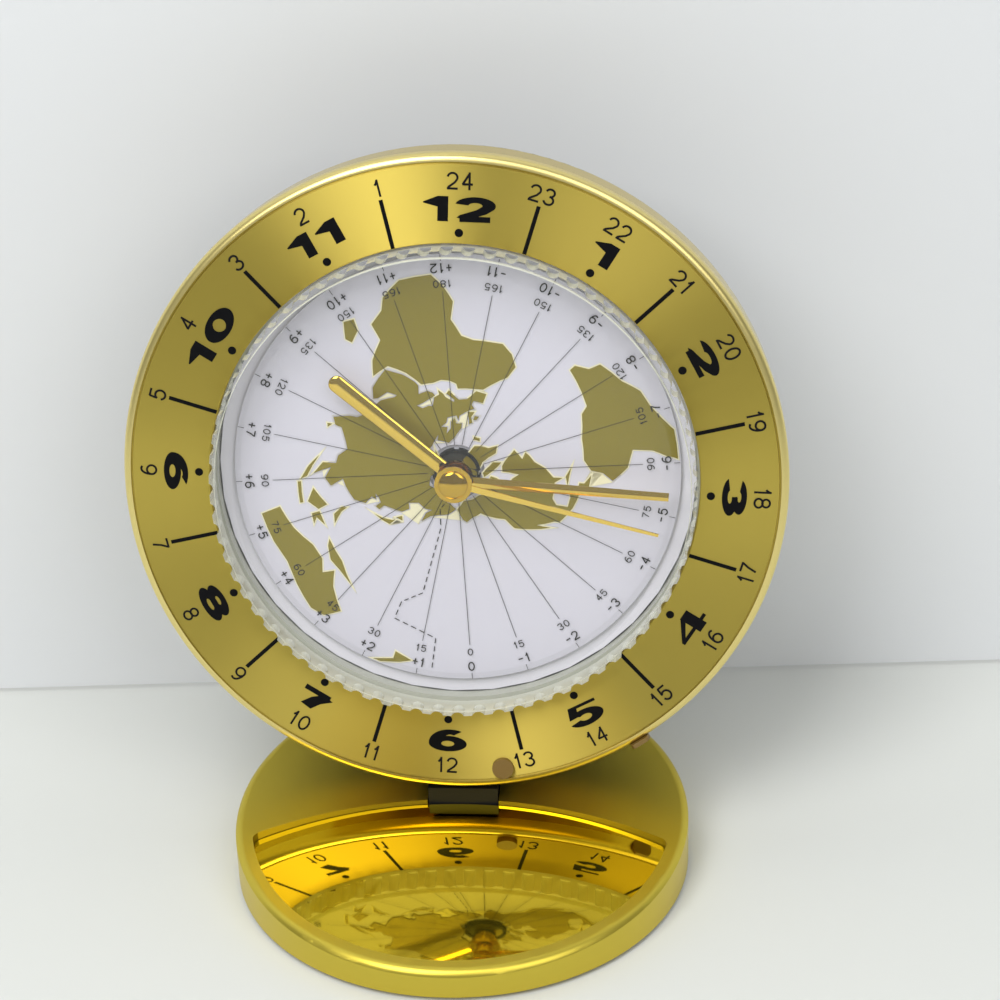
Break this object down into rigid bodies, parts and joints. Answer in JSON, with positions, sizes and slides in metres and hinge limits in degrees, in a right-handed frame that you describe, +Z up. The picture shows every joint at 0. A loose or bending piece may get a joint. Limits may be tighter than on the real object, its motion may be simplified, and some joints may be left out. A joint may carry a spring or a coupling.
{
  "type": "world time desk clock",
  "caption": "Round brass desk clock leaning back on a wedge-shaped round base; a fluted clear crystal with a polar world map turns inside the dial ring to read the time in other places.",
  "frame": {"origin": "centre of the base's underside, on the table", "axes": "+Z up, +Y to the rear, +X to the right of somebody facing the dial"},
  "size_m": [0.1, 0.0751, 0.1107],
  "materials": {
    "satin_brass": "satin lacquer, olive gold",
    "mirror_brass": "polished gold mirror",
    "steel": "plain",
    "felt": "dark felt",
    "black_plastic": "black, matt",
    "black_metal": "black, semi-gloss",
    "brushed_brass": "brushed round and round, lacquered",
    "bumper_rubber": "translucent brown",
    "polished_brass": "polished",
    "clear_crystal": "clear, slightly green",
    "printed_disc": "pale lavender print",
    "white_plastic": "plain",
    "copper": "enamelled wire",
    "board": "green board",
    "battery_jacket": "plain jacket"
  },
  "bodies": {
    "stand": {"base_body": "satin_brass", "mirror_plate": "mirror_brass", "base_weight": "steel", "weight_screws": "steel", "base_pad": "felt", "hinge_block": "black_plastic", "block_screws": "steel"},
    "head": {"hinge_bracket": "black_metal", "bracket_screws": "steel", "hinge_pin": "steel", "dial_ring": "brushed_brass", "rubber_bumpers": "bumper_rubber", "case_drum": "polished_brass", "retainer_ring": "steel", "retainer_screws": "steel", "movement_carrier": "steel", "carrier_screws": "steel", "mount_nut": "black_metal", "movement_front": "black_plastic", "movement_rear": "black_plastic", "stator": "steel", "coil_core": "steel", "coil": "copper", "circuit_board": "board", "quartz_can": "steel", "battery": "battery_jacket", "battery_contacts": "steel", "rear_cover": "black_plastic", "cover_screws": "steel"},
    "crystal_group": {"crystal": "clear_crystal", "map_disc": "printed_disc"},
    "second_group": {"seconds_wheel": "white_plastic", "second_hand": "polished_brass", "hand_cap": "polished_brass"},
    "minute_group": {"centre_wheel": "white_plastic", "minute_hand": "polished_brass"},
    "hour_group": {"hour_wheel": "white_plastic", "hour_hand": "polished_brass"},
    "third_group": {"third_wheel": "white_plastic"},
    "motion_group": {"motion_wheel": "white_plastic"},
    "step_group": {"step_wheel": "white_plastic"},
    "rotor_group": {"rotor_pinion": "white_plastic", "rotor_magnet": "steel"},
    "setting_group": {"setting_pinion": "white_plastic", "setting_knob": "black_plastic"},
    "door": {"battery_door": "black_plastic"}
  },
  "joints": [
    {"name": "head_tilt", "type": "hinge", "parent": "stand", "child": "head", "pos_m": [0, 0.0076, 0.00931], "axis": [1, 0, 0], "range_deg": [-8, 8]},
    {"name": "crystal_turn", "type": "hinge", "parent": "head", "child": "crystal_group", "pos_m": [0, 0.02438, 0.0591], "axis": [0, 0.9857, -0.1685], "continuous": true},
    {"name": "second_turn", "type": "hinge", "parent": "head", "child": "second_group", "pos_m": [0, 0.02438, 0.0591], "axis": [0, 0.9857, -0.1685], "continuous": true},
    {"name": "minute_turn", "type": "hinge", "parent": "head", "child": "minute_group", "pos_m": [0, 0.02438, 0.0591], "axis": [0, 0.9857, -0.1685], "continuous": true},
    {"name": "hour_turn", "type": "hinge", "parent": "head", "child": "hour_group", "pos_m": [0, 0.02438, 0.0591], "axis": [0, 0.9857, -0.1685], "continuous": true},
    {"name": "third_turn", "type": "hinge", "parent": "head", "child": "third_group", "pos_m": [0.00958, 0.02497, 0.06253], "axis": [0, 0.9857, -0.1685], "continuous": true},
    {"name": "motion_turn", "type": "hinge", "parent": "head", "child": "motion_group", "pos_m": [0, 0.026, 0.06856], "axis": [0, 0.9857, -0.1685], "continuous": true},
    {"name": "step_turn", "type": "hinge", "parent": "head", "child": "step_group", "pos_m": [-0.00921, 0.02527, 0.06434], "axis": [0, 0.9857, -0.1685], "continuous": true},
    {"name": "rotor_turn", "type": "hinge", "parent": "head", "child": "rotor_group", "pos_m": [-0.0108, 0.02679, 0.07319], "axis": [0, 0.9857, -0.1685], "continuous": true},
    {"name": "setting_turn", "type": "hinge", "parent": "head", "child": "setting_group", "pos_m": [0.00831, 0.0268, 0.07329], "axis": [0, 0.9857, -0.1685], "continuous": true},
    {"name": "door_lift", "type": "slide", "parent": "head", "child": "door", "axis": [0, 0.9857, -0.1685], "range_m": [0, 0.03]}
  ],
  "couplings": [
    {"joint": "minute_turn", "follows": "second_turn", "ratio": 0.016667},
    {"joint": "hour_turn", "follows": "second_turn", "ratio": 0.0013889},
    {"joint": "third_turn", "follows": "second_turn", "ratio": -0.13333},
    {"joint": "motion_turn", "follows": "second_turn", "ratio": -0.0055556},
    {"joint": "step_turn", "follows": "second_turn", "ratio": -6},
    {"joint": "rotor_turn", "follows": "second_turn", "ratio": 30},
    {"joint": "setting_turn", "follows": "second_turn", "ratio": 0.016667}
  ]
}
